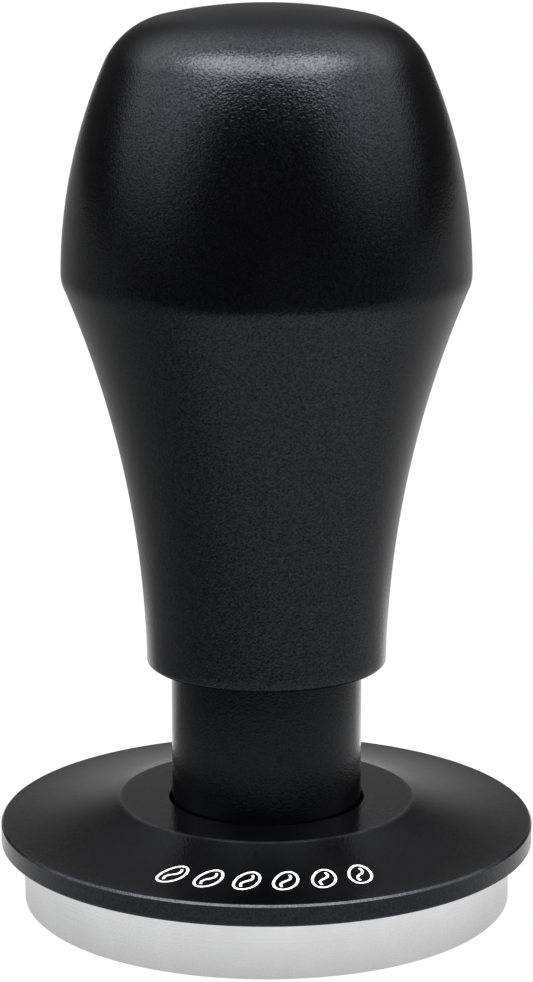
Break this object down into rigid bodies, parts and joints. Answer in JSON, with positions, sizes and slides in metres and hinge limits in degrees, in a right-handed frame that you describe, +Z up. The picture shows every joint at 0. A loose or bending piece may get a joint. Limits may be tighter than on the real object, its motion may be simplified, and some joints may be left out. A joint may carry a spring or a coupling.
{
  "type": "espresso tamper",
  "caption": "Spring-loaded espresso tamper: turned handle over a steel tamping base, with a self-levelling plate that slides on a guide sleeve.",
  "frame": {"origin": "centre of the base's flat underside, the tamping face", "axes": "+Z up along the stem, from the tamping face to the top of the handle; the object is turned about Z, so X and Y are free, and the marking on the plate faces -Y"},
  "size_m": [0.064, 0.064, 0.1072],
  "materials": {
    "tamping_puck": "fine satin turned stainless steel",
    "base_stud": "dark rolled thread",
    "stem_lock_washer": "spring steel",
    "plate_cushion_ring": "matte nitrile",
    "stem": "ground stainless steel",
    "flange_wear_ring": "natural acetal",
    "upper_return_washer": "stamped stainless steel",
    "stem_circlip": "phosphated spring steel",
    "main_spring_washer": "stamped stainless steel",
    "main_spring": "drawn spring wire",
    "return_spring": "drawn spring wire",
    "lower_return_washer": "stamped stainless steel",
    "levelling_plate": "black anodised, fine bead blast",
    "guide_sleeve": "black anodised, fine bead blast",
    "sleeve_lock_ring": "turned stainless steel",
    "sleeve_bush": "natural acetal",
    "handle_shell": "black anodised, fine bead blast",
    "mouth_bush": "natural acetal",
    "mouth_snap_ring": "phosphated spring steel",
    "handle_retainer": "turned stainless steel",
    "rebound_bumper": "matte nitrile",
    "top_spring_seat": "turned stainless steel",
    "thrust_washer": "natural acetal"
  },
  "bodies": {
    "base": {"tamping_puck": "tamping_puck", "base_stud": "base_stud", "stem_lock_washer": "stem_lock_washer", "plate_cushion_ring": "plate_cushion_ring", "stem": "stem", "flange_wear_ring": "flange_wear_ring", "upper_return_washer": "upper_return_washer", "stem_circlip": "stem_circlip", "main_spring_washer": "main_spring_washer", "main_spring": "main_spring", "return_spring": "return_spring"},
    "plate_carrier": {"lower_return_washer": "lower_return_washer"},
    "plate": {"levelling_plate": "levelling_plate", "guide_sleeve": "guide_sleeve", "sleeve_lock_ring": "sleeve_lock_ring", "sleeve_bush": "sleeve_bush"},
    "spring_carrier": {"top_spring_seat": "top_spring_seat"},
    "handle": {"handle_shell": "handle_shell", "mouth_bush": "mouth_bush", "mouth_snap_ring": "mouth_snap_ring", "handle_retainer": "handle_retainer", "rebound_bumper": "rebound_bumper", "thrust_washer": "thrust_washer"}
  },
  "joints": [
    {"name": "plate_lift", "type": "slide", "parent": "base", "child": "plate_carrier", "axis": [0, 0, 1], "range_m": [0, 0.008], "stiffness_N_per_m": 230, "springref_m": -0.0075, "deforming": ["return_spring"]},
    {"name": "plate_spin", "type": "hinge", "parent": "plate_carrier", "child": "plate", "pos_m": [0, 0, 0.0099], "axis": [0, 0, 1], "continuous": true},
    {"name": "handle_press", "type": "slide", "parent": "base", "child": "spring_carrier", "axis": [0, 0, 1], "range_m": [-0.0085, 0], "stiffness_N_per_m": 10500, "springref_m": 0.0042, "deforming": ["main_spring"]},
    {"name": "handle_spin", "type": "hinge", "parent": "spring_carrier", "child": "handle", "pos_m": [0, 0, 0.0945], "axis": [0, 0, 1], "continuous": true}
  ]
}
